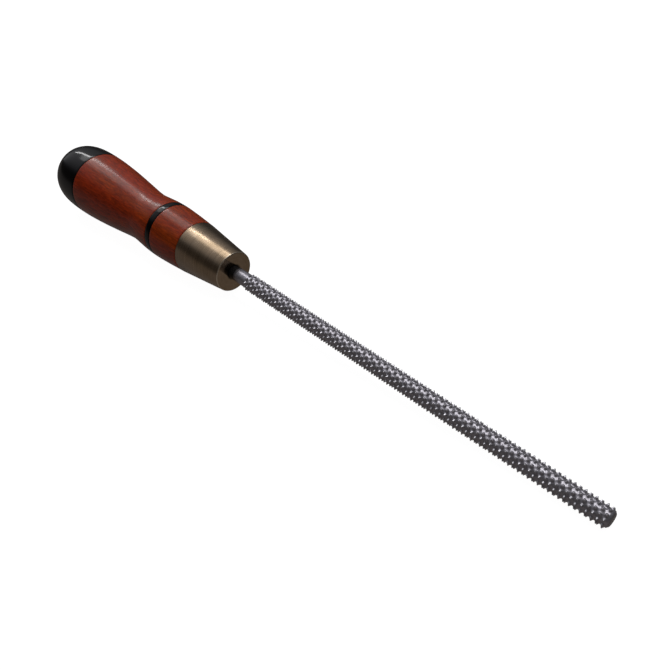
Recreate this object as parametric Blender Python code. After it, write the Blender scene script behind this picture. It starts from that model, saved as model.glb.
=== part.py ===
"""A round rasp with a turned handle, built as a stack of separate pieces on one through tang.

Metres, +Z up. The tool's own axis lies along X with the blade towards +X, and the origin is on
that axis, halfway along the tool. Stations below are measured from the ferrule's front face:
positive along the bare blade, negative into the handle.
"""

import math

import bmesh
import bpy

# Clearance
GAP = 0.0003  # between two pieces that touch on the real tool
HALF_GAP = GAP / 2

# Overall
BLADE_LENGTH = 0.1498  # bare blade, from the ferrule's face to the tip
HANDLE_LENGTH = 0.1078
FACE_X = (HANDLE_LENGTH - BLADE_LENGTH) / 2  # the ferrule's face in the part's frame
ROUND_SIDES = 32  # sides of every turned handle piece

# Blade
CORE_RADIUS = 0.00252
TOOTH_HEIGHT = 0.00070
TOOTH_PITCH = 0.00317  # along one column of teeth
TOOTH_COLUMNS = 22  # columns round the blade, neighbours half a pitch apart
TOOTH_ROWS = 89
TOOTH_HALF_WIDTH = 0.0003
FIRST_COLUMN_ANGLE = math.radians(219.4)  # from +Y towards +Z
TIP_CHAMFER = 0.00045
TIP_RADIUS = 0.0021
SHOULDER = -0.0044  # where the blade steps down to the tang
TANG_RADIUS = 0.00195
TANG_END = -0.0930
THREAD_PITCH = 0.0007
THREAD_DEPTH = 0.0003
THREAD_TURNS = 8
TANG_HOLE_RADIUS = TANG_RADIUS + GAP

# Ferrule
FERRULE_FACE_RADIUS = 0.00757
FERRULE_REAR_RADIUS = 0.00996
FERRULE_REAR = -0.0216
FERRULE_BEVEL = 0.00025
FERRULE_WALL = 0.0040  # thickness of its front wall
FERRULE_BORE_RADIUS = 0.0062

# Wood, ring and cap
RING_FRONT = -0.0365
RING_REAR = -0.0394
CAP_FRONT = -0.0869
SPIGOT_RADIUS = 0.0060  # rear grip's front spigot, through the ring into the front grip
SPIGOT_LENGTH = 0.0085
CAP_SPIGOT_RADIUS = 0.0090  # rear grip's rear spigot, inside the cap
CAP_SPIGOT_LENGTH = 0.0070
NUT_POCKET_RADIUS = 0.0066
NUT_POCKET_FLOOR = -0.0852
CAP_RADIUS = 0.01326
CAP_CURVE_START = -0.0879
CAP_LENGTH_POWER = 3.42  # the cap's outline is a superellipse
CAP_RADIUS_POWER = 2.78
CAP_STEPS = 9
CAP_HOLLOW_RADIUS = 0.0070
CAP_HOLLOW_END = -0.0990

# Station and radius at the turning template's own marks, ferrule to cap.
GRIP_TEMPLATE = [
    (-0.0216, 0.00996),
    (-0.0290, 0.01053),
    (-0.0365, 0.01091),
    (-0.0420, 0.01082),
    (-0.0470, 0.01042),
    (-0.0515, 0.01013),
    (-0.0555, 0.01037),
    (-0.0635, 0.01131),
    (-0.0730, 0.01234),
    (-0.0827, 0.01308),
    (-0.0890, 0.01327),
]
TEMPLATE_STEP = 0.0030  # between rings of a grip, at most

# Hardware on the tang
THRUST_WASHER_RADIUS = 0.0056
THRUST_WASHER_THICKNESS = 0.0012
CLAMP_WASHER_RADIUS = 0.0060
CLAMP_WASHER_THICKNESS = 0.0010
SPRING_WASHER_RADIUS = 0.0038
SPRING_WASHER_THICKNESS = 0.0010
SPRING_WASHER_LIFT = 0.0004  # how far its cut ends stand apart
SPRING_WASHER_TURN = math.radians(345)
NUT_ACROSS_FLATS = 0.0070
NUT_THICKNESS = 0.0032
SMALL_SIDES = 24

# Colours: base colour, roughness, metallic
STEEL = ("steel", (0.20, 0.19, 0.20), 0.35, 1.0)
BRASS = ("brass", (0.42, 0.33, 0.22), 0.30, 1.0)
WOOD = ("reddish_wood", (0.20, 0.040, 0.018), 0.40, 0.0)
BLACK = ("gloss_black", (0.008, 0.008, 0.009), 0.25, 0.0)
PLATED_STEEL = ("plated_steel", (0.55, 0.55, 0.56), 0.30, 1.0)


def clear_scene():
    for thing in list(bpy.data.objects):
        bpy.data.objects.remove(thing)


def material(finish):
    """The finish's material, made on first use."""
    name, colour, roughness, metallic = finish
    if name in bpy.data.materials:
        return bpy.data.materials[name]
    made = bpy.data.materials.new(name)
    made.use_nodes = True
    shader = made.node_tree.nodes["Principled BSDF"]
    shader.inputs["Base Color"].default_value = (*colour, 1.0)
    shader.inputs["Roughness"].default_value = roughness
    shader.inputs["Metallic"].default_value = metallic
    return made


def object_from(name, shape, finish, tool_axis):
    """The bmesh as an object on the tool's axis, with its normals out and its edges smoothed."""
    bmesh.ops.recalc_face_normals(shape, faces=shape.faces)
    mesh = bpy.data.meshes.new(name)
    shape.to_mesh(mesh)
    shape.free()
    mesh.materials.append(material(finish))
    mesh.shade_smooth()
    mesh.set_sharp_from_angle(angle=math.radians(30))
    made = bpy.data.objects.new(name, mesh)
    made.parent = tool_axis
    bpy.context.scene.collection.objects.link(made)
    return made


def radial_point(station, radius, angle):
    """A point of the stack, at an angle measured from +Y towards +Z."""
    return (station, radius * math.cos(angle), radius * math.sin(angle))


def spun(outline, closed, sides):
    """A bmesh of the (station, radius) outline turned about X, with one flat side facing down."""
    shape = bmesh.new()
    start = math.pi / sides
    corners = [shape.verts.new(radial_point(x, r, start)) for x, r in outline]
    edges = [shape.edges.new(pair) for pair in zip(corners, corners[1:])]
    if closed:
        edges.append(shape.edges.new((corners[-1], corners[0])))
    bmesh.ops.spin(
        shape,
        geom=corners + edges,
        axis=(1, 0, 0),
        cent=(0, 0, 0),
        angle=2 * math.pi,
        steps=sides,
        use_merge=True,
    )
    bmesh.ops.remove_doubles(shape, verts=shape.verts, dist=1e-6)
    return shape


def pipe(name, outline, finish, tool_axis, sides=ROUND_SIDES):
    """A turned piece with a hole right through, from a closed outline."""
    return object_from(name, spun(outline, True, sides), finish, tool_axis)


def plug(name, outline, finish, tool_axis, sides=ROUND_SIDES):
    """A turned piece that is solid on the axis, where its outline starts and ends."""
    return object_from(name, spun(outline, False, sides), finish, tool_axis)


def template_radius(station):
    """The grip's radius at a station: a smooth cubic through the template's marks."""
    marks = GRIP_TEMPLATE
    span = 0
    while span < len(marks) - 2 and station < marks[span + 1][0]:
        span += 1

    def slope(i):
        before = marks[max(i - 1, 0)]
        after = marks[min(i + 1, len(marks) - 1)]
        return (after[1] - before[1]) / (after[0] - before[0])

    (x0, r0), (x1, r1) = marks[span], marks[span + 1]
    width = x1 - x0
    t = (station - x0) / width
    return (
        (2 * t**3 - 3 * t**2 + 1) * r0
        + (t**3 - 2 * t**2 + t) * width * slope(span)
        + (3 * t**2 - 2 * t**3) * r1
        + (t**3 - t**2) * width * slope(span + 1)
    )


def grip_outline(front, rear):
    """Outer points of a grip between two stations, front to rear."""
    steps = math.ceil((front - rear) / TEMPLATE_STEP)
    stations = [front + (rear - front) * i / steps for i in range(steps + 1)]
    return [(x, template_radius(x)) for x in stations]


def cap_outline():
    """Outer points of the butt cap, from its front edge to the end of its dome."""
    length = HANDLE_LENGTH + CAP_CURVE_START
    front = CAP_FRONT - HALF_GAP
    points = [(front, template_radius(front))]
    for i in range(1, CAP_STEPS + 1):
        turn = math.pi / 2 * i / CAP_STEPS
        along = math.sin(turn) ** (2 / CAP_LENGTH_POWER)
        across = max(math.cos(turn), 0.0) ** (2 / CAP_RADIUS_POWER)
        if i == CAP_STEPS:
            across = 0.0
        points.append((CAP_CURVE_START - length * along, CAP_RADIUS * across))
    return points


def blade_ring(shape, station, radius):
    """One ring of the blade, with a corner on every column of teeth."""
    turn = 2 * math.pi / TOOTH_COLUMNS
    return [
        shape.verts.new(radial_point(station, radius, FIRST_COLUMN_ANGLE + k * turn))
        for k in range(TOOTH_COLUMNS)
    ]


def join_rings(shape, one, other):
    for k in range(len(one)):
        after = (k + 1) % len(one)
        shape.faces.new((one[k], one[after], other[after], other[k]))


def tooth_row(shape, before, after, station, first):
    """A row of teeth between two rings, one on every other column from the one numbered first."""
    turn = 2 * math.pi / TOOTH_COLUMNS
    spread = TOOTH_HALF_WIDTH / CORE_RADIUS
    left, right = {}, {}
    for k in range(first, TOOTH_COLUMNS, 2):
        angle = FIRST_COLUMN_ANGLE + k * turn
        left[k] = shape.verts.new(radial_point(station, CORE_RADIUS, angle - spread))
        right[k] = shape.verts.new(radial_point(station, CORE_RADIUS, angle + spread))
        point = shape.verts.new(radial_point(station, CORE_RADIUS + TOOTH_HEIGHT, angle))
        for ring in (before, after):
            shape.faces.new((ring[k], right[k], point))
            shape.faces.new((ring[k], point, left[k]))
    for k in left:
        between = (k + 1) % TOOTH_COLUMNS
        beyond = (k + 2) % TOOTH_COLUMNS
        for ring in (before, after):
            shape.faces.new((ring[k], ring[between], right[k]))
            shape.faces.new((ring[between], left[beyond], right[k]))
            shape.faces.new((ring[between], ring[beyond], left[beyond]))


def rasp_blade(tool_axis):
    """One forging: toothed blade, plain neck, shoulder, round tang and threaded tail."""
    shape = bmesh.new()
    tip = blade_ring(shape, BLADE_LENGTH, TIP_RADIUS)
    shape.faces.new(tip)
    ring = blade_ring(shape, BLADE_LENGTH - TIP_CHAMFER, CORE_RADIUS)
    join_rings(shape, tip, ring)
    half_row = TOOTH_PITCH / 4
    station = BLADE_LENGTH - TIP_CHAMFER
    for row in range(TOOTH_ROWS):
        before, ring = ring, blade_ring(shape, station - 2 * half_row, CORE_RADIUS)
        tooth_row(shape, before, ring, station - half_row, row % 2)
        station -= 2 * half_row
    thread_start = TANG_END + (THREAD_TURNS + 0.5) * THREAD_PITCH
    plain = [(SHOULDER, CORE_RADIUS), (SHOULDER, TANG_RADIUS), (thread_start, TANG_RADIUS)]
    thread = []
    for turn in range(THREAD_TURNS):
        crest = thread_start - (turn + 1) * THREAD_PITCH
        thread.append((crest + THREAD_PITCH / 2, TANG_RADIUS - THREAD_DEPTH))
        thread.append((crest, TANG_RADIUS))
    for x, r in plain + thread + [(TANG_END, TANG_RADIUS - THREAD_DEPTH)]:
        before, ring = ring, blade_ring(shape, x, r)
        join_rings(shape, before, ring)
    shape.faces.new(ring)
    return object_from("rasp_blade", shape, STEEL, tool_axis)


def ferrule(tool_axis):
    """Conical brass shell with a holed front wall, bored from behind for the front grip's tenon."""
    rear = FERRULE_REAR + HALF_GAP
    hole = CORE_RADIUS + GAP
    outline = [
        (0.0, hole),
        (0.0, FERRULE_FACE_RADIUS - FERRULE_BEVEL),
        (-FERRULE_BEVEL, FERRULE_FACE_RADIUS),
        (rear, FERRULE_REAR_RADIUS),
        (rear, FERRULE_BORE_RADIUS),
        (-FERRULE_WALL, FERRULE_BORE_RADIUS),
        (-FERRULE_WALL, hole),
    ]
    return pipe("ferrule", outline, BRASS, tool_axis)


def front_grip(tool_axis):
    """Short wooden grip: a tenon into the ferrule, and a socket for the rear grip's spigot."""
    tenon_front = SHOULDER - 2 * GAP - THRUST_WASHER_THICKNESS
    tenon_radius = FERRULE_BORE_RADIUS - GAP
    front = FERRULE_REAR - HALF_GAP
    rear = RING_FRONT + HALF_GAP
    socket_radius = SPIGOT_RADIUS + GAP
    socket_floor = RING_REAR + SPIGOT_LENGTH + GAP
    outline = [(tenon_front, TANG_HOLE_RADIUS), (tenon_front, tenon_radius), (front, tenon_radius)]
    outline += grip_outline(front, rear)
    outline += [(rear, socket_radius), (socket_floor, socket_radius), (socket_floor, TANG_HOLE_RADIUS)]
    return pipe("front_grip", outline, WOOD, tool_axis)


def accent_ring(tool_axis):
    """Black spacer between the two grips."""
    front = RING_FRONT - HALF_GAP
    rear = RING_REAR + HALF_GAP
    inner = SPIGOT_RADIUS + GAP
    outline = [(front, inner), (front, template_radius(front))]
    outline += [(rear, template_radius(rear)), (rear, inner)]
    return pipe("accent_ring", outline, BLACK, tool_axis)


def rear_grip(tool_axis):
    """Long wooden grip: a spigot at each end, and a pocket for the nut and washers behind."""
    front = RING_REAR - HALF_GAP
    rear = CAP_FRONT + HALF_GAP
    spigot_front = RING_REAR + SPIGOT_LENGTH
    spigot_rear = CAP_FRONT - CAP_SPIGOT_LENGTH
    outline = [(spigot_front, TANG_HOLE_RADIUS), (spigot_front, SPIGOT_RADIUS), (front, SPIGOT_RADIUS)]
    outline += grip_outline(front, rear)
    outline += [(rear, CAP_SPIGOT_RADIUS), (spigot_rear, CAP_SPIGOT_RADIUS)]
    outline += [(spigot_rear, NUT_POCKET_RADIUS), (NUT_POCKET_FLOOR, NUT_POCKET_RADIUS)]
    outline += [(NUT_POCKET_FLOOR, TANG_HOLE_RADIUS)]
    return pipe("rear_grip", outline, WOOD, tool_axis)


def butt_cap(tool_axis):
    """Domed black cap, hollow behind the socket that sits on the rear grip's spigot."""
    front = CAP_FRONT - HALF_GAP
    socket_radius = CAP_SPIGOT_RADIUS + GAP
    socket_floor = CAP_FRONT - CAP_SPIGOT_LENGTH - GAP
    outline = [(CAP_HOLLOW_END, 0.0), (CAP_HOLLOW_END, CAP_HOLLOW_RADIUS)]
    outline += [(socket_floor, CAP_HOLLOW_RADIUS), (socket_floor, socket_radius)]
    outline += [(front, socket_radius)]
    outline += cap_outline()
    return plug("butt_cap", outline, BLACK, tool_axis)


def washer(name, front, thickness, radius, tool_axis):
    outline = [(front, TANG_HOLE_RADIUS), (front, radius)]
    outline += [(front - thickness, radius), (front - thickness, TANG_HOLE_RADIUS)]
    return pipe(name, outline, PLATED_STEEL, tool_axis, SMALL_SIDES)


def spring_washer(front, tool_axis):
    """A split washer: one turn of square wire whose cut ends stand a little apart."""
    shape = bmesh.new()
    section = [
        (front, TANG_HOLE_RADIUS),
        (front, SPRING_WASHER_RADIUS),
        (front - SPRING_WASHER_THICKNESS, SPRING_WASHER_RADIUS),
        (front - SPRING_WASHER_THICKNESS, TANG_HOLE_RADIUS),
    ]
    rings = []
    for i in range(SMALL_SIDES + 1):
        part = i / SMALL_SIDES
        lift = SPRING_WASHER_LIFT * part
        angle = SPRING_WASHER_TURN * part
        rings.append([shape.verts.new(radial_point(x - lift, r, angle)) for x, r in section])
    for before, after in zip(rings, rings[1:]):
        join_rings(shape, before, after)
    shape.faces.new(rings[0])
    shape.faces.new(rings[-1])
    return object_from("spring_washer", shape, PLATED_STEEL, tool_axis)


def clamp_nut(front, tool_axis):
    """Hexagonal nut, with its hole cut from a prism."""
    rear = front - NUT_THICKNESS
    corner_radius = NUT_ACROSS_FLATS / math.sqrt(3)
    nut = plug(
        "clamp_nut",
        [(front, 0.0), (front, corner_radius), (rear, corner_radius), (rear, 0.0)],
        PLATED_STEEL,
        tool_axis,
        6,
    )
    above, below = front + GAP, rear - GAP
    cutter = plug(
        "clamp_nut_hole_cutter",
        [(above, 0.0), (above, TANG_HOLE_RADIUS), (below, TANG_HOLE_RADIUS), (below, 0.0)],
        PLATED_STEEL,
        tool_axis,
        SMALL_SIDES,
    )
    cutter.hide_render = True
    cutter.display_type = "WIRE"
    hole = nut.modifiers.new("tang_hole", "BOOLEAN")
    hole.operation = "DIFFERENCE"
    hole.object = cutter
    return nut


def main():
    clear_scene()
    tool_axis = bpy.data.objects.new("tool_axis", None)
    tool_axis.location = (FACE_X, 0.0, 0.0)
    bpy.context.scene.collection.objects.link(tool_axis)

    rasp_blade(tool_axis)
    ferrule(tool_axis)
    washer("thrust_washer", SHOULDER - GAP, THRUST_WASHER_THICKNESS, THRUST_WASHER_RADIUS, tool_axis)
    front_grip(tool_axis)
    accent_ring(tool_axis)
    rear_grip(tool_axis)
    front = NUT_POCKET_FLOOR - GAP
    washer("clamp_washer", front, CLAMP_WASHER_THICKNESS, CLAMP_WASHER_RADIUS, tool_axis)
    front -= CLAMP_WASHER_THICKNESS + GAP
    spring_washer(front, tool_axis)
    front -= SPRING_WASHER_THICKNESS + SPRING_WASHER_LIFT + GAP
    clamp_nut(front, tool_axis)
    butt_cap(tool_axis)


main()
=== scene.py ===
"""The looks of the round rasp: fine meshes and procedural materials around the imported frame.

Metres, +Z up, the tool's axis along X. Stations run from the ferrule's front face, positive
along the bare blade and negative into the handle. Radii are measured from the tool's axis.
"""

import math
import random

import bmesh
import bpy
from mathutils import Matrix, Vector

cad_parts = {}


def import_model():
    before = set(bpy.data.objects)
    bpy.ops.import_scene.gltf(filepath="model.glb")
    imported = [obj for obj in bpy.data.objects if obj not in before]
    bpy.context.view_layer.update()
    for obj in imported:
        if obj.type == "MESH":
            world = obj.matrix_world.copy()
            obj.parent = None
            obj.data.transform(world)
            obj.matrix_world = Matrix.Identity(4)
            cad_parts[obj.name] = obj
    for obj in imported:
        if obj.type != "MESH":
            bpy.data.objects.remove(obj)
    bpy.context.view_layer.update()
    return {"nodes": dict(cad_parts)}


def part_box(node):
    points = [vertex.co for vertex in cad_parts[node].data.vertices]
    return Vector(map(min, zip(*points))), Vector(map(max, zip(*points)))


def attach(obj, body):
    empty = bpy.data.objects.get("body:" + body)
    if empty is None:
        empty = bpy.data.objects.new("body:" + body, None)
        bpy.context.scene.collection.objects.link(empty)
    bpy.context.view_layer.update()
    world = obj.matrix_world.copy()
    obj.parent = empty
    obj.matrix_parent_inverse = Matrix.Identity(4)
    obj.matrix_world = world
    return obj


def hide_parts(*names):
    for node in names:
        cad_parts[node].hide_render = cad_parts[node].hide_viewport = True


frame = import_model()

# Places taken from the frame
FACE_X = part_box("ferrule")[1].x
TIP_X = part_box("rasp_blade")[1].x
BUTT_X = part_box("butt_cap")[0].x
BLADE_LENGTH = TIP_X - FACE_X
HANDLE_LENGTH = FACE_X - BUTT_X
TANG_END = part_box("rasp_blade")[0].x - FACE_X

# Blade
CORE_RADIUS = 0.00252
TIP_RADIUS = 0.0021
TIP_CHAMFER = 0.00045  # from the flat end to where the full radius starts
TIP_EASE = 0.00008  # eased edge of the flat end
NECK_SHADE_FULL = 0.0023  # painted shade: the neck is painted nearly black from the ferrule to this station
NECK_SHADE_END = 0.0037  # and has none of that painted shade from this one on
LINE_SHADE_FULL = 0.0001  # painted shade: the ferrule's face is painted nearly black this close to the neck
LINE_SHADE_END = 0.0007  # and has none of that painted shade this far from it
SHOULDER = -0.0044
TANG_RADIUS = 0.00195
THREAD_PITCH = 0.0007
THREAD_DEPTH = 0.0003
THREAD_TURNS = 8

# Teeth
TOOTH_HEIGHT = 0.00070
TOOTH_PITCH = 0.00317  # from tooth to tooth in one column; the next column is half a pitch off
TOOTH_COLUMNS = 22
TOOTH_ROWS = 89
FIRST_COLUMN_ANGLE = math.radians(219.4)
BLADE_SIDES = 2 * TOOTH_COLUMNS
SIDE_ANGLE = 2 * math.pi / BLADE_SIDES
HALF_CELL = TOOTH_PITCH / 4  # half the length of the cell that one tooth stands in
# One tooth's rings from its root up: half length along the blade, half width and height above
# the core, each as a share of the tooth's height
TOOTH_RINGS = [
    (0.80, 0.76, 0.00),
    (0.65, 0.62, 0.17),
    (0.51, 0.49, 0.38),
    (0.38, 0.37, 0.58),
    (0.26, 0.26, 0.77),
    (0.14, 0.14, 0.92),
]
TOOTH_SHAKE = 0.045  # how unevenly the teeth are cut, as a share of their height
WEAR_START, WEAR_FULL = 0.2, 0.6  # shares of a tooth's height between which wear sets in
SEED = 7

# Handle
EASE = 0.00028  # eased edge at each joint of the handle
SEAM = 0.00004  # from a joint's plane to each piece beside it
FIT = 0.00004  # between a tenon and its socket
FERRULE_FACE_RADIUS = 0.00757
FERRULE_RIM = 0.00045  # radius of the rounding round its face
FERRULE_REAR_RADIUS = 0.00996
FERRULE_REAR = -0.0216
FERRULE_WALL = 0.0040  # thickness of its front wall
FERRULE_BORE_RADIUS = 0.0062
HOLE_EASE = 2 * FIT  # eased edge of the neck's hole
RING_FRONT = -0.0365
RING_REAR = -0.0394
CAP_FRONT = -0.0869
SPIGOT_RADIUS = 0.0060
SPIGOT_LENGTH = 0.0085
CAP_SPIGOT_RADIUS = 0.0090
CAP_SPIGOT_LENGTH = 0.0070
NUT_POCKET_RADIUS = 0.0066
NUT_POCKET_FLOOR = -0.0852
TANG_HOLE_RADIUS = 0.00225
THRUST_WASHER_DEPTH = 0.0062  # from the ferrule's face to the front grip's tenon
# The dome is a superellipse, rounder where these powers are lower
CAP_RADIUS = 0.01326
CAP_CURVE_START = -0.0879
CAP_LENGTH_POWER = 3.42
CAP_RADIUS_POWER = 2.78
CAP_HOLLOW_RADIUS = 0.0070
CAP_HOLLOW_END = -0.0990
# Station and radius along the grips' outer surface, joined by a smooth curve
GRIP_TEMPLATE = [
    (-0.0216, 0.00996),
    (-0.0290, 0.01053),
    (-0.0365, 0.01091),
    (-0.0420, 0.01082),
    (-0.0470, 0.01042),
    (-0.0515, 0.01013),
    (-0.0555, 0.01037),
    (-0.0635, 0.01131),
    (-0.0730, 0.01234),
    (-0.0827, 0.01308),
    (-0.0890, 0.01327),
]

# Fineness of the meshes
ROUND_SIDES = 128
TEMPLATE_STEP = 0.0006
CAP_STEPS = 40
EASE_STEPS = 2
RIM_STEPS = 5
SHARP_ANGLE = 30  # degrees between two faces, above which their edge is shaded sharp
TOOTH_SHARP_ANGLE = 50

# Camera
CAMERA_PLACE = (0.16839, -0.13485, 0.16102)
CAMERA_TARGET = (0.02889, 0.00113, 0.0)
CAMERA_LENS = 42.6  # millimetres, as is the sensor's width
CAMERA_SENSOR = 36.0
CAMERA_CLIP = 0.01

# Floor: it runs just under the handle at one station, and just under the teeth near the tip
FLOOR_HALF = 3.0
FLOOR_HANDLE_STATION = -0.0900
FLOOR_HANDLE_RADIUS = 0.01350
FLOOR_TIP_INSET = 0.0020
FLOOR_GAP = 0.0001
PALE = 0.98  # brightness of the floor and of the backdrop above its far edge

# Lights and reflected room, by their angle round the tool in degrees from +Y towards +Z. The
# camera is at about 130.
LIGHT_DISTANCE = 0.70
STREAK_ANGLE = 70  # of the strips that are reflected as the handle's bright streak
# The room's brightness at an angle: towards the handle's end, then towards the tip
ROOM = [
    (-90, 0.125, 0.170),
    (-35, 0.075, 0.150),
    (-10, 0.040, 0.080),
    (8, 0.050, 0.040),
    (25, 0.160, 0.040),
    (45, 0.290, 0.060),
    (60, 0.450, 0.080),
    (95, 0.480, 0.080),
    (112, 0.400, 0.040),
    (130, 0.240, 0.020),
    (143, 0.075, 0.075),
    (155, 0.038, 0.045),
    (178, 0.038, 0.045),
    (196, 0.130, 0.140),
    (270, 0.130, 0.170),
]
ROOM_HANDLE_END = -0.60  # a direction's X from which only the first brightness counts
ROOM_TIP_END = 0.30  # and the one from which only the second does
COOL, WARM = (1.0, 1.0, 1.05), (1.0, 0.90, 0.85)
COOL_FROM, COOL_TO = 0, 150  # the room is cool between these angles and warm elsewhere

# A Mix node's sockets for colours go by number, because their names repeat.
MIX_SHARE, MIX_ONE, MIX_OTHER = 0, 6, 7
MIX_RESULT = 2


# ---------------------------------------------------------------- shapes


def object_from(name, points, faces, sharp_angle=SHARP_ANGLE):
    """A closed mesh of these points and faces, in the frame, with its normals out."""
    mesh = bpy.data.meshes.new(name)
    mesh.from_pydata(points, [], faces)
    shape = bmesh.new()
    shape.from_mesh(mesh)
    bmesh.ops.recalc_face_normals(shape, faces=shape.faces)
    shape.to_mesh(mesh)
    shape.free()
    mesh.shade_smooth()
    mesh.set_sharp_from_angle(angle=math.radians(sharp_angle))
    made = bpy.data.objects.new(name, mesh)
    bpy.context.scene.collection.objects.link(made)
    return made


def radial_point(station, radius, angle):
    return (FACE_X + station, radius * math.cos(angle), radius * math.sin(angle))


def turned(name, outline, closed):
    """A piece turned about the axis: a closed outline has a hole through it, and an open one
    starts and ends on the axis."""
    points = []
    rings = []
    for station, radius in outline:
        if radius == 0.0:
            points.append(radial_point(station, 0.0, 0.0))
            rings.append([len(points) - 1] * ROUND_SIDES)
            continue
        rings.append(range(len(points), len(points) + ROUND_SIDES))
        for k in range(ROUND_SIDES):
            points.append(radial_point(station, radius, 2 * math.pi * k / ROUND_SIDES))
    pairs = list(zip(rings, rings[1:]))
    if closed:
        pairs.append((rings[-1], rings[0]))
    faces = []
    for one, other in pairs:
        for k in range(ROUND_SIDES):
            after = (k + 1) % ROUND_SIDES
            corners = [one[k], one[after], other[after], other[k]]
            faces.append(list(dict.fromkeys(corners)))
    return object_from(name, points, faces)


def template_radius(station):
    """The grip's radius at a station: a smooth cubic through the template's marks."""
    marks = GRIP_TEMPLATE
    span = 0
    while span < len(marks) - 2 and station < marks[span + 1][0]:
        span += 1

    def slope(i):
        before = marks[max(i - 1, 0)]
        after = marks[min(i + 1, len(marks) - 1)]
        return (after[1] - before[1]) / (after[0] - before[0])

    (x0, r0), (x1, r1) = marks[span], marks[span + 1]
    width = x1 - x0
    t = (station - x0) / width
    return (
        (2 * t**3 - 3 * t**2 + 1) * r0
        + (t**3 - 2 * t**2 + t) * width * slope(span)
        + (3 * t**2 - 2 * t**3) * r1
        + (t**3 - t**2) * width * slope(span + 1)
    )


def eased_corner(station, radius, inward, size=EASE, steps=EASE_STEPS):
    """Points round an edge, from the piece's flat end to its outer surface. inward is -1 where
    the piece lies behind the end and +1 where it lies ahead of it."""
    points = []
    for i in range(steps + 1):
        turn = math.pi / 2 * i / steps
        along = station + inward * size * (1 - math.cos(turn))
        points.append((along, radius - size * (1 - math.sin(turn))))
    return points


def grip_outline(front, rear):
    """Outer points of a grip between two joints, front to rear, with both edges eased."""
    inner_front, inner_rear = front - EASE, rear + EASE
    steps = math.ceil((inner_front - inner_rear) / TEMPLATE_STEP)
    points = eased_corner(front, template_radius(front), -1)[:-1]
    for i in range(steps + 1):
        station = inner_front + (inner_rear - inner_front) * i / steps
        points.append((station, template_radius(station)))
    return points + eased_corner(rear, template_radius(rear), 1)[-2::-1]


def ferrule():
    rear = FERRULE_REAR + SEAM
    hole = CORE_RADIUS + FIT
    face = eased_corner(0.0, FERRULE_FACE_RADIUS, -1, FERRULE_RIM, RIM_STEPS)
    back = eased_corner(rear, FERRULE_REAR_RADIUS, 1)[::-1]
    outline = [(-HOLE_EASE, hole), (0.0, hole + HOLE_EASE)] + face + back
    outline += [(rear, FERRULE_BORE_RADIUS), (-FERRULE_WALL, FERRULE_BORE_RADIUS)]
    outline += [(-FERRULE_WALL, hole)]
    return turned("ferrule_turned", outline, closed=True)


def front_grip():
    front, rear = FERRULE_REAR - SEAM, RING_FRONT + SEAM
    tenon = FERRULE_BORE_RADIUS - FIT
    socket = SPIGOT_RADIUS + FIT
    socket_floor = RING_REAR + SPIGOT_LENGTH + FIT
    outline = [(-THRUST_WASHER_DEPTH, TANG_HOLE_RADIUS), (-THRUST_WASHER_DEPTH, tenon)]
    outline += [(front, tenon)]
    outline += grip_outline(front, rear)
    outline += [(rear, socket), (socket_floor, socket), (socket_floor, TANG_HOLE_RADIUS)]
    return turned("front_grip_turned", outline, closed=True)


def accent_ring():
    front, rear = RING_FRONT - SEAM, RING_REAR + SEAM
    inner = SPIGOT_RADIUS + FIT
    outline = [(front, inner)] + grip_outline(front, rear) + [(rear, inner)]
    return turned("accent_ring_turned", outline, closed=True)


def rear_grip():
    front, rear = RING_REAR - SEAM, CAP_FRONT + SEAM
    spigot_front = RING_REAR + SPIGOT_LENGTH
    spigot_rear = CAP_FRONT - CAP_SPIGOT_LENGTH
    outline = [(spigot_front, TANG_HOLE_RADIUS), (spigot_front, SPIGOT_RADIUS)]
    outline += [(front, SPIGOT_RADIUS)]
    outline += grip_outline(front, rear)
    outline += [(rear, CAP_SPIGOT_RADIUS), (spigot_rear, CAP_SPIGOT_RADIUS)]
    outline += [(spigot_rear, NUT_POCKET_RADIUS), (NUT_POCKET_FLOOR, NUT_POCKET_RADIUS)]
    outline += [(NUT_POCKET_FLOOR, TANG_HOLE_RADIUS)]
    return turned("rear_grip_turned", outline, closed=True)


def butt_cap():
    front = CAP_FRONT - SEAM
    socket = CAP_SPIGOT_RADIUS + FIT
    socket_floor = CAP_FRONT - CAP_SPIGOT_LENGTH - FIT
    outline = [(CAP_HOLLOW_END, 0.0), (CAP_HOLLOW_END, CAP_HOLLOW_RADIUS)]
    outline += [(socket_floor, CAP_HOLLOW_RADIUS), (socket_floor, socket), (front, socket)]
    outline += eased_corner(front, template_radius(front), -1)
    length = HANDLE_LENGTH + CAP_CURVE_START
    for i in range(CAP_STEPS):
        turn = math.pi / 2 * i / CAP_STEPS
        along = math.sin(turn) ** (2 / CAP_LENGTH_POWER)
        across = math.cos(turn) ** (2 / CAP_RADIUS_POWER)
        outline.append((CAP_CURVE_START - length * along, CAP_RADIUS * across))
    outline.append((-HANDLE_LENGTH, 0.0))
    return turned("butt_cap_turned", outline, closed=False)


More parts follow.
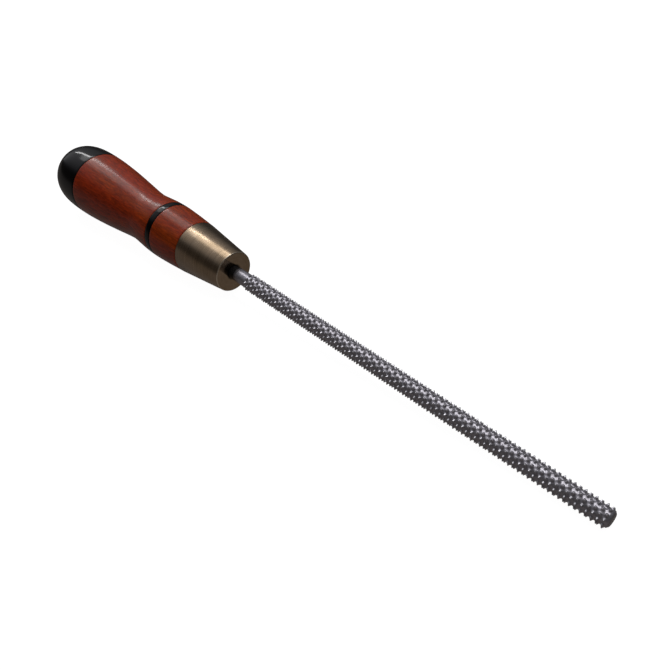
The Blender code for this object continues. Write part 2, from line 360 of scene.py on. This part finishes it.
class Blade:
    """The blade's mesh as it grows from the tip to the end of the tang, ring by ring."""

    def __init__(self):
        self.points = []
        self.faces = []
        self.chance = random.Random(SEED)

    def point(self, station, radius, angle):
        self.points.append(radial_point(station, radius, angle))
        return len(self.points) - 1

    def ring(self, station, radius):
        angles = [FIRST_COLUMN_ANGLE + k * SIDE_ANGLE for k in range(BLADE_SIDES)]
        return [self.point(station, radius, angle) for angle in angles]

    def join(self, one, other):
        for k in range(len(one)):
            after = (k + 1) % len(one)
            self.faces.append((one[k], one[after], other[after], other[k]))

    def close(self, ring, centre):
        for k in range(len(ring)):
            self.faces.append((ring[k], ring[(k + 1) % len(ring)], centre))

    def tooth(self, edge, station, angle):
        """One tooth raised inside its cell, whose corners are given in order with their offsets
        along the blade and round it."""
        stray = TOOTH_HEIGHT * TOOTH_SHAKE
        lean = (self.chance.gauss(0, stray), self.chance.gauss(0, stray))
        height = TOOTH_HEIGHT * (1 + self.chance.uniform(-TOOTH_SHAKE, TOOTH_SHAKE))
        before = [corner for corner, _, _ in edge]
        bearings = [math.atan2(round_it, along) for _, along, round_it in edge]
        for half_length, half_width, rise in TOOTH_RINGS:
            ring = []
            for bearing in bearings:
                along = half_length * TOOTH_HEIGHT * math.cos(bearing) + lean[0] * rise
                across = half_width * TOOTH_HEIGHT * math.sin(bearing) + lean[1] * rise
                radius = CORE_RADIUS + rise * height
                ring.append(self.point(station + along, radius, angle + across / radius))
            self.join(before, ring)
            before = ring
        top_angle = angle + lean[1] / CORE_RADIUS
        self.close(before, self.point(station + lean[0], CORE_RADIUS + height, top_angle))

    def tooth_row(self, ahead, behind, station, first):
        """A row of teeth between two rings, each in a cell four ring sides wide."""
        width = SIDE_ANGLE * CORE_RADIUS
        middles = {}
        for k in range(first, TOOTH_COLUMNS, 2):
            angle = FIRST_COLUMN_ANGLE + (2 * k - 2) * SIDE_ANGLE
            middles[k] = self.point(station, CORE_RADIUS, angle)
        for k in middles:
            edge = []
            for step in range(-2, 3):
                edge.append((ahead[(2 * k + step) % BLADE_SIDES], HALF_CELL, step * width))
            beyond = k + 2 if k + 2 in middles else first
            edge.append((middles[beyond], 0.0, 2 * width))
            for step in range(2, -3, -1):
                edge.append((behind[(2 * k + step) % BLADE_SIDES], -HALF_CELL, step * width))
            edge.append((middles[k], 0.0, -2 * width))
            self.tooth(edge, station, FIRST_COLUMN_ANGLE + 2 * k * SIDE_ANGLE)


def rasp_blade():
    """Toothed blade, neck, shoulder, tang and threaded tail in one mesh."""
    blade = Blade()
    tip = blade.ring(BLADE_LENGTH, TIP_RADIUS - TIP_EASE)
    blade.close(tip, blade.point(BLADE_LENGTH, 0.0, 0.0))
    ring = blade.ring(BLADE_LENGTH - TIP_EASE, TIP_RADIUS)
    blade.join(tip, ring)
    station = BLADE_LENGTH - TIP_CHAMFER
    before, ring = ring, blade.ring(station, CORE_RADIUS)
    blade.join(before, ring)
    for row in range(TOOTH_ROWS):
        before, ring = ring, blade.ring(station - 2 * HALF_CELL, CORE_RADIUS)
        blade.tooth_row(before, ring, station - HALF_CELL, row % 2)
        station -= 2 * HALF_CELL
    thread_start = TANG_END + (THREAD_TURNS + 0.5) * THREAD_PITCH
    tang = [(SHOULDER, CORE_RADIUS), (SHOULDER, TANG_RADIUS), (thread_start, TANG_RADIUS)]
    for turn in range(THREAD_TURNS):
        crest = thread_start - (turn + 1) * THREAD_PITCH
        tang.append((crest + THREAD_PITCH / 2, TANG_RADIUS - THREAD_DEPTH))
        tang.append((crest, TANG_RADIUS))
    tang.append((TANG_END, TANG_RADIUS - THREAD_DEPTH))
    for station, radius in tang:
        before, ring = ring, blade.ring(station, radius)
        blade.join(before, ring)
    blade.close(ring, blade.point(TANG_END, 0.0, 0.0))
    return object_from("rasp_blade_toothed", blade.points, blade.faces, TOOTH_SHARP_ANGLE)


# ---------------------------------------------------------------- materials


class Nodes:
    """A node tree, with a short call for each kind of node that is used often."""

    def __init__(self, tree):
        self.tree = tree

    def node(self, kind, inputs=(), **settings):
        """A new node. An input that is another node's output is linked, any other is set."""
        made = self.tree.nodes.new(kind)
        for key, value in settings.items():
            setattr(made, key, value)
        for key, value in dict(inputs).items():
            if isinstance(value, bpy.types.NodeSocket):
                self.tree.links.new(value, made.inputs[key])
            else:
                made.inputs[key].default_value = value
        return made

    def maths(self, operation, *values):
        inputs = {i: value for i, value in enumerate(values)}
        return self.node("ShaderNodeMath", inputs, operation=operation).outputs[0]

    def added(self, one, other):
        return self.maths("ADD", one, other)

    def scaled(self, value, factor):
        return self.maths("MULTIPLY", value, factor)

    def remap(self, value, low, high, to_low=0.0, to_high=1.0):
        inputs = {"Value": value, "From Min": low, "From Max": high}
        inputs.update({"To Min": to_low, "To Max": to_high})
        return self.node("ShaderNodeMapRange", inputs).outputs[0]

    def split(self, vector):
        """A vector's X, Y and Z."""
        return list(self.node("ShaderNodeSeparateXYZ", {"Vector": vector}).outputs)

    def mix(self, share, one, other, blend="MIX"):
        inputs = {MIX_SHARE: share, MIX_ONE: one, MIX_OTHER: other}
        made = self.node("ShaderNodeMix", inputs, data_type="RGBA", blend_type=blend)
        return made.outputs[MIX_RESULT]


class Surface(Nodes):
    """A node material: a Principled shader and the textures that feed it."""

    def __init__(self, name, **settings):
        self.material = bpy.data.materials.new(name)
        self.material.use_nodes = True
        super().__init__(self.material.node_tree)
        self.shader = self.tree.nodes["Principled BSDF"]
        for socket, value in settings.items():
            self.shader.inputs[socket.replace("_", " ")].default_value = value
        coordinates = self.node("ShaderNodeTexCoord").outputs
        self.place = coordinates["Object"]
        self.facing = coordinates["Normal"]

    def feed(self, socket, value):
        self.tree.links.new(value, self.shader.inputs[socket])

    def bump(self, height, strength, distance):
        inputs = {"Height": height, "Strength": strength, "Distance": distance}
        self.feed("Normal", self.node("ShaderNodeBump", inputs).outputs[0])

    def stretched(self, scale):
        """The object's coordinates with each axis scaled: a small number draws a texture out."""
        return self.node("ShaderNodeMapping", {"Vector": self.place, "Scale": scale}).outputs[0]

    def wavy(self, scale, sway, amount):
        """Stretched coordinates that sway sideways, as grain does."""
        x, y, z = self.split(self.stretched(scale))
        shift = self.remap(sway, 0.0, 1.0, -amount, amount)
        inputs = {0: x, 1: self.added(y, shift), 2: self.added(z, shift)}
        return self.node("ShaderNodeCombineXYZ", inputs).outputs[0]

    def noise(self, vector, scale, detail, roughness):
        inputs = {"Vector": vector, "Scale": scale, "Detail": detail, "Roughness": roughness}
        return self.node("ShaderNodeTexNoise", inputs).outputs["Fac"]

    def shaded(self, colour, brightness):
        """A colour times a brightness."""
        inputs = {0: brightness, 1: brightness, 2: brightness}
        grey = self.node("ShaderNodeCombineColor", inputs).outputs[0]
        return self.mix(1.0, colour, grey, "MULTIPLY")

    def from_axis(self):
        """Distance from the tool's axis, in metres."""
        _, y, z = self.split(self.place)
        squares = self.added(self.maths("POWER", y, 2.0), self.maths("POWER", z, 2.0))
        return self.maths("SQRT", squares)


def wood():
    """Reddish-brown hardwood under satin lacquer, its grain along the handle."""
    made = Surface("reddish_wood", Specular_IOR_Level=0.33)
    red = (0.290, 0.026, 0.0040, 1.0)
    orange = (0.300, 0.038, 0.0022, 1.0)
    dark = (0.185, 0.015, 0.0025, 1.0)
    sway = made.noise(made.stretched((0.22, 1.0, 1.0)), 150.0, 2.0, 0.5)
    cloud = made.noise(made.stretched((0.25, 1.0, 1.0)), 300.0, 3.0, 0.6)
    grain = made.noise(made.wavy((0.14, 1.0, 1.0), sway, 0.0010), 1250.0, 3.0, 0.62)
    fibre = made.noise(made.stretched((0.10, 1.0, 1.0)), 2300.0, 3.0, 0.65)
    colour = made.mix(made.remap(sway, 0.40, 0.60), red, orange)
    colour = made.mix(made.remap(cloud, 0.50, 0.70, 0.0, 0.36), colour, dark)
    grain_shade = made.remap(grain, 0.34, 0.66, 0.70, 1.24)
    fibre_shade = made.remap(fibre, 0.3, 0.7, 0.68, 1.32)
    shade = made.maths("MULTIPLY", grain_shade, fibre_shade)
    made.feed("Base Color", made.shaded(colour, shade))
    made.feed("Roughness", made.remap(grain, 0.3, 0.7, 0.26, 0.17))
    made.bump(made.added(grain, made.scaled(fibre, 0.8)), 0.45, 0.00004)
    return made.material


def brass():
    """Dulled brass with the fine rings of turning round it, small bright specks, a worn rim and a
    nearly black ring painted on its face round the neck, as shade and as the neck's dark reflection."""
    made = Surface("turned_brass")
    bright = (0.42, 0.318, 0.220, 1.0)
    dull = (0.36, 0.262, 0.165, 1.0)
    speck = (0.75, 0.62, 0.48, 1.0)
    polished = (0.72, 0.62, 0.49, 1.0)
    painted_shade_black = (0.010, 0.008, 0.006, 1.0)
    from_axis = made.from_axis()
    forward = made.split(made.facing)[0]
    on_face = made.remap(forward, 0.80, 0.95)
    on_rim = made.maths("SUBTRACT", made.remap(forward, 0.22, 0.36), made.remap(forward, 0.80, 0.97))
    cone_rings = made.noise(made.stretched((1.0, 0.02, 0.02)), 3600.0, 3.0, 0.6)
    radius_only = made.node("ShaderNodeCombineXYZ", {0: from_axis}).outputs[0]
    face_rings = made.noise(radius_only, 3600.0, 3.0, 0.6)
    rings = made.remap(on_face, 0.0, 1.0, cone_rings, face_rings)
    coarse = made.noise(made.stretched((1.0, 0.03, 0.03)), 1100.0, 2.0, 0.5)
    tarnish = made.noise(made.stretched((0.6, 1.0, 1.0)), 240.0, 4.0, 0.6)
    specks = made.remap(made.noise(made.place, 1900.0, 2.0, 0.5), 0.66, 0.74)
    colour = made.mix(made.remap(tarnish, 0.35, 0.68), bright, dull)
    colour = made.shaded(colour, made.remap(rings, 0.3, 0.7, 0.80, 1.14))
    colour = made.mix(made.scaled(specks, 0.35), colour, speck)
    colour = made.mix(on_rim, colour, polished)
    # Painted shade: the face is painted nearly black round the neck, standing for the contact shadow
    # and the neck's dark reflection there.
    neck_shade_mask = made.remap(from_axis, CORE_RADIUS + LINE_SHADE_FULL, CORE_RADIUS + LINE_SHADE_END, 0.85, 0.0)
    colour = made.mix(made.maths("MULTIPLY", on_face, neck_shade_mask), colour, painted_shade_black)
    made.feed("Base Color", colour)
    made.feed("Metallic", made.remap(on_rim, 0.0, 1.0, 1.0, 0.85))
    uneven = made.added(made.scaled(rings, 0.10), made.scaled(tarnish, 0.14))
    rough = made.added(uneven, 0.13)
    made.feed("Roughness", made.maths("SUBTRACT", rough, made.scaled(on_face, 0.14)))
    made.bump(made.added(rings, made.scaled(coarse, 0.7)), 0.35, 0.00003)
    return made.material


def black():
    """Glossy black moulding with a faint orange peel and hairline scuffs."""
    made = Surface("gloss_black", Specular_IOR_Level=0.31)
    deep = (0.0003, 0.0002, 0.0004, 1.0)
    hazy = (0.0008, 0.0006, 0.0009, 1.0)
    peel = made.noise(made.place, 700.0, 2.0, 0.5)
    haze = made.noise(made.place, 180.0, 3.0, 0.6)
    hairs = made.noise(made.stretched((1.0, 0.12, 0.35)), 3800.0, 2.0, 0.5)
    scuffs = made.remap(hairs, 0.60, 0.72)
    made.feed("Base Color", made.mix(made.remap(haze, 0.3, 0.7), deep, hazy))
    rough = made.remap(haze, 0.3, 0.7, 0.10, 0.13)
    made.feed("Roughness", made.added(rough, made.scaled(scuffs, 0.06)))
    made.bump(made.maths("SUBTRACT", peel, made.scaled(scuffs, 0.2)), 0.02, 0.00001)
    return made.material


def steel():
    """Hardened steel, dark between the teeth and worn bright on their points. The neck's root is
    painted nearly black, as painted shade and a painted dark reflection where it meets the ferrule,
    and faces turned towards the tip are painted darker as shade."""
    made = Surface("rasp_steel", Metallic=0.68)
    dark = (0.350, 0.334, 0.366, 1.0)
    grey = (0.440, 0.424, 0.464, 1.0)
    bright = (0.66, 0.65, 0.69, 1.0)
    forward_shade_grey = (0.085, 0.080, 0.083, 1.0)
    # painted shade: the near-black used for the neck's root here and round the neck on the ferrule's
    # face
    painted_shade_black = (0.004, 0.004, 0.004, 1.0)
    scale_marks = made.noise(made.stretched((0.4, 1.0, 1.0)), 900.0, 4.0, 0.6)
    fine = made.noise(made.stretched((1.0, 0.15, 0.15)), 5200.0, 3.0, 0.6)
    wear_start = CORE_RADIUS + WEAR_START * TOOTH_HEIGHT
    wear = made.remap(made.from_axis(), wear_start, CORE_RADIUS + WEAR_FULL * TOOTH_HEIGHT)
    forward = made.split(made.facing)[0]
    x = made.split(made.place)[0]
    # Painted shade: faces turned towards the tip, the flat end and the teeth's front flanks among
    # them, are painted darker.
    forward_shade_mask = made.remap(forward, 0.6, 0.9, 0.0, 0.45)
    # Painted shade: the neck's root is painted nearly black where it enters the ferrule, standing
    # for its contact shadow and its dark reflection in the face.
    root_shade_mask = made.remap(x, FACE_X + NECK_SHADE_FULL, FACE_X + NECK_SHADE_END, 0.92, 0.0)
    colour = made.mix(made.remap(scale_marks, 0.35, 0.65), dark, grey)
    colour = made.mix(wear, colour, bright)
    colour = made.mix(forward_shade_mask, colour, forward_shade_grey)
    colour = made.mix(root_shade_mask, colour, painted_shade_black)
    made.feed("Base Color", colour)
    rough = made.added(made.remap(scale_marks, 0.3, 0.7, 0.17, 0.23), made.scaled(fine, 0.06))
    made.feed("Roughness", made.maths("SUBTRACT", rough, made.scaled(wear, 0.09)))
    made.bump(made.added(fine, scale_marks), 0.10, 0.00002)
    return made.material


def plated_steel():
    """Zinc-plated hardware."""
    made = Surface("plated_steel", Metallic=1.0)
    bluish = (0.48, 0.49, 0.52, 1.0)
    yellowish = (0.66, 0.65, 0.62, 1.0)
    patches = made.noise(made.place, 900.0, 4.0, 0.6)
    fine = made.noise(made.place, 6000.0, 2.0, 0.5)
    made.feed("Base Color", made.mix(patches, bluish, yellowish))
    made.feed("Roughness", made.remap(patches, 0.3, 0.7, 0.26, 0.42))
    made.bump(fine, 0.15, 0.00003)
    return made.material


# ---------------------------------------------------------------- object


def finish_piece(piece, node, finish):
    piece.data.materials.append(finish)
    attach(piece, "root")
    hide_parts(node)


def build_object():
    wooden, shiny_black = wood(), black()
    finish_piece(rasp_blade(), "rasp_blade", steel())
    finish_piece(ferrule(), "ferrule", brass())
    finish_piece(front_grip(), "front_grip", wooden)
    finish_piece(accent_ring(), "accent_ring", shiny_black)
    finish_piece(rear_grip(), "rear_grip", wooden)
    finish_piece(butt_cap(), "butt_cap", shiny_black)
    hardware = plated_steel()
    for name in ("thrust_washer", "clamp_washer", "spring_washer", "clamp_nut"):
        for material_slot in frame["nodes"][name].material_slots:
            material_slot.material = hardware


# ---------------------------------------------------------------- studio


def camera():
    data = bpy.data.cameras.new("camera")
    data.lens = CAMERA_LENS
    data.sensor_width = CAMERA_SENSOR
    data.clip_start = CAMERA_CLIP
    made = bpy.data.objects.new("camera", data)
    bpy.context.scene.collection.objects.link(made)
    made.location = CAMERA_PLACE
    view = Vector(CAMERA_TARGET) - Vector(CAMERA_PLACE)
    made.rotation_euler = view.to_track_quat("-Z", "Y").to_euler()
    bpy.context.scene.camera = made


def softbox(name, angle, middle, width, length, power, mirrored=True):
    """A rectangular light at an angle round the tool, its length along it and its middle at this
    X. One that isn't mirrored adds matt light only: no gloss shows it."""
    data = bpy.data.lights.new(name, "AREA")
    data.shape = "RECTANGLE"
    data.size = length
    data.size_y = width
    data.energy = power
    made = bpy.data.objects.new(name, data)
    bpy.context.scene.collection.objects.link(made)
    turn = math.radians(angle)
    made.location = (middle, LIGHT_DISTANCE * math.cos(turn), LIGHT_DISTANCE * math.sin(turn))
    made.visible_glossy = mirrored
    # The light's own X runs along the tool and its -Z points at the tool's axis.
    made.rotation_euler = (turn - math.pi / 2, 0.0, 0.0)


def floor():
    """A pale floor just under the handle and the blade's end, tipped a little to reach both."""
    handle_x, handle_z = FACE_X + FLOOR_HANDLE_STATION, -FLOOR_HANDLE_RADIUS
    blade_x, blade_z = TIP_X - FLOOR_TIP_INSET, -(CORE_RADIUS + TOOTH_HEIGHT)
    slope = (blade_z - handle_z) / (blade_x - handle_x)
    points = []
    for x in (-FLOOR_HALF, FLOOR_HALF):
        for y in (-FLOOR_HALF, FLOOR_HALF):
            points.append((x, y, handle_z + slope * (x - handle_x) - FLOOR_GAP))
    mesh = bpy.data.meshes.new("floor")
    mesh.from_pydata(points, [], [(0, 2, 3, 1)])
    made = bpy.data.objects.new("floor", mesh)
    bpy.context.scene.collection.objects.link(made)
    surface = Surface(
        "floor",
        Base_Color=(0.15, 0.15, 0.15, 1.0),
        Roughness=0.9,
        Specular_IOR_Level=0.1,
        Emission_Color=(1.0, 1.0, 1.0, 1.0),
        Emission_Strength=PALE,
    )
    made.data.materials.append(surface.material)
    made.visible_glossy = False
    made.visible_diffuse = False


def world():
    """A pale backdrop for the camera, and for every other ray a dim room, which is lightest
    overhead towards the handle's end and darkest on the camera's side."""
    made = bpy.data.worlds.new("studio")
    made.use_nodes = True
    nodes = Nodes(made.node_tree)
    x, y, z = nodes.split(nodes.node("ShaderNodeTexCoord").outputs["Generated"])
    angle = nodes.maths("ARCTAN2", z, y)
    start = ROOM[0][0]
    turns = nodes.maths("MULTIPLY_ADD", angle, 1 / math.tau, -start / 360)
    position = nodes.maths("FRACT", turns)
    ends = []
    for column in (1, 2):
        ramp = nodes.node("ShaderNodeValToRGB", {"Fac": position})
        stops = ramp.color_ramp.elements
        for row in ROOM[1:-1]:
            stops.new((row[0] - start) / 360)
        for stop, row in zip(stops, ROOM):
            tint = COOL if COOL_FROM < row[0] < COOL_TO else WARM
            stop.color = [row[column] * part for part in tint] + [1.0]
        ends.append(ramp.outputs[0])
    room = nodes.mix(nodes.remap(x, ROOM_HANDLE_END, ROOM_TIP_END), *ends)
    from_camera = nodes.node("ShaderNodeLightPath").outputs["Is Camera Ray"]
    seen = nodes.mix(from_camera, room, (PALE, PALE, PALE, 1.0))
    nodes.tree.links.new(seen, nodes.tree.nodes["Background"].inputs["Color"])
    bpy.context.scene.world = made


def studio():
    camera()
    floor()
    world()
    softbox("soft_overhead", 80, -0.425, width=0.37, length=1.45, power=2.3)
    softbox("bright_strip", STREAK_ANGLE, -0.10, width=0.10, length=0.80, power=0.58)
    softbox("rear_strip", STREAK_ANGLE - 2, -1.24, width=0.06, length=1.00, power=1.62)
    softbox("fill_overhead", 75, -0.10, width=0.40, length=1.40, power=0.7, mirrored=False)
    # Only the upper edge of this one stands above the floor.
    softbox("fill_front", 200, -0.10, width=0.60, length=1.40, power=0.8, mirrored=False)
    bpy.context.scene.view_settings.view_transform = "Standard"


build_object()
studio()
bpy.context.view_layer.update()
